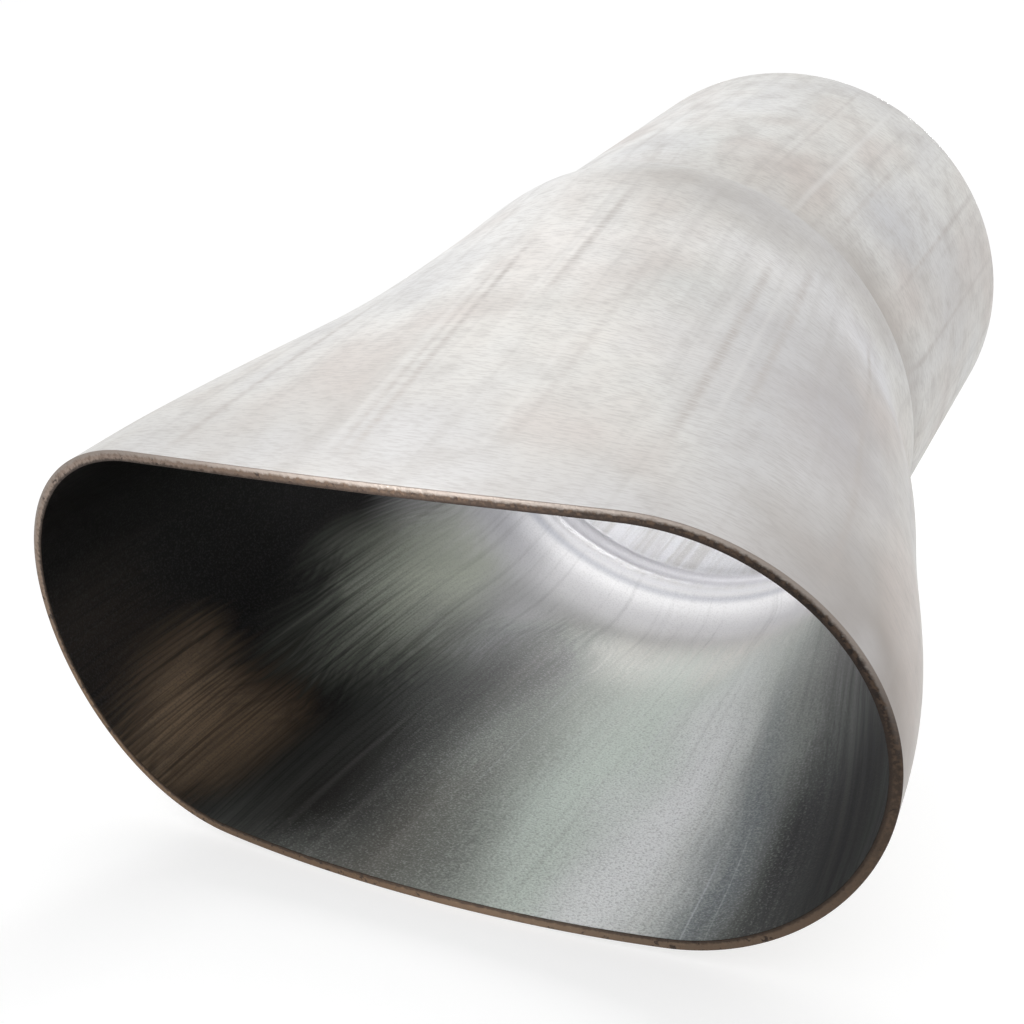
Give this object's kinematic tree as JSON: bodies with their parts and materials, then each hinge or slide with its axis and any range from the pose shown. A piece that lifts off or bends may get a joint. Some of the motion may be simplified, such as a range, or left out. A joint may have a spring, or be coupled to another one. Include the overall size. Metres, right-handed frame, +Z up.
{
  "type": "exhaust collector cone",
  "caption": "Formed steel exhaust collector cone: a wide oval mouth for side-by-side pipes runs through a rounded shoulder and neck to a round collar.",
  "frame": {"origin": "middle of the footprint, on the surface the cone lies on", "axes": "+Z up, +Y from the oval mouth to the round collar, +X along the mouth's long axis"},
  "size_m": [0.096, 0.1264, 0.0717],
  "materials": {
    "formed_steel": "mill-finish formed steel with faint draw lines and a raw saw-cut rim"
  },
  "bodies": {
    "root": {"collector_cone": "formed_steel"}
  },
  "joints": []
}
